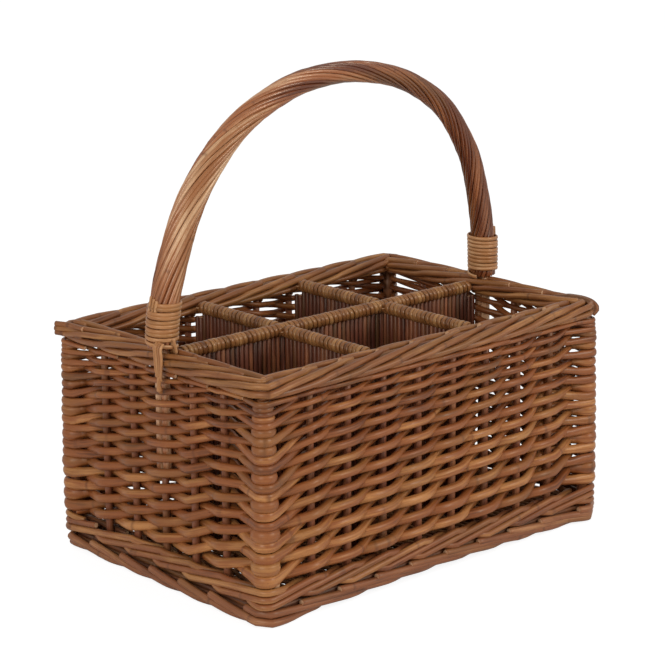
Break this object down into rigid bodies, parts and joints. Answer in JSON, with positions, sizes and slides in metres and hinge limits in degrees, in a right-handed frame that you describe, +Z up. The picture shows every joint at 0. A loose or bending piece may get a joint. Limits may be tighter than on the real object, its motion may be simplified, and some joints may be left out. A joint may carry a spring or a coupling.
{
  "type": "bottle basket",
  "caption": "Oblong woven willow bottle basket with upright cells, a rolled rim and one fixed roped handle arching from end to end.",
  "frame": {"origin": "middle of the basket on the floor under the foot border", "axes": "+Z up, X along the long walls and the handle, +Y towards the back"},
  "size_m": [0.3627, 0.2498, 0.3776],
  "materials": {
    "siding": "satin steamed willow, mid brown",
    "stake": "satin willow, dark reddish brown",
    "wale": "satin willow, golden brown",
    "foot": "satin willow, brown with pale cut ends",
    "rim": "satin willow, warm brown",
    "handle": "satin willow, light tan brown",
    "skein": "split willow skein, light golden tan",
    "divider": "dark red-brown willow rods",
    "base": "satin willow, dull brown"
  },
  "bodies": {
    "root": {"corner_post_front": "stake", "stake_front_1": "stake", "stake_front_2": "stake", "stake_front_3": "stake", "stake_front_4": "stake", "stake_front_5": "stake", "stake_front_6": "stake", "stake_front_7": "stake", "stake_front_8": "stake", "siding_front": "siding", "wale_front": "wale", "foot_border_front": "foot", "rim_front": "rim", "corner_post_right": "stake", "stake_right_1": "stake", "stake_right_2": "stake", "stake_right_3": "stake", "stake_right_4": "stake", "stake_right_5": "stake", "siding_right": "siding", "wale_right": "wale", "foot_border_right": "foot", "rim_right": "rim", "corner_post_back": "stake", "stake_back_1": "stake", "stake_back_2": "stake", "stake_back_3": "stake", "stake_back_4": "stake", "stake_back_5": "stake", "stake_back_6": "stake", "stake_back_7": "stake", "stake_back_8": "stake", "siding_back": "siding", "wale_back": "wale", "foot_border_back": "foot", "rim_back": "rim", "corner_post_left": "stake", "stake_left_1": "stake", "stake_left_2": "stake", "stake_left_3": "stake", "stake_left_4": "stake", "stake_left_5": "stake", "siding_left": "siding", "wale_left": "wale", "foot_border_left": "foot", "rim_left": "rim", "bow_end_right": "handle", "whipping_right": "skein", "lashing_right": "skein", "bow_end_left": "handle", "whipping_left": "skein", "lashing_left": "skein", "handle_rope": "handle", "divider_long": "divider", "divider_left_front": "divider", "divider_left_back": "divider", "divider_right_front": "divider", "divider_right_back": "divider", "base_mat": "base"}
  },
  "joints": []
}
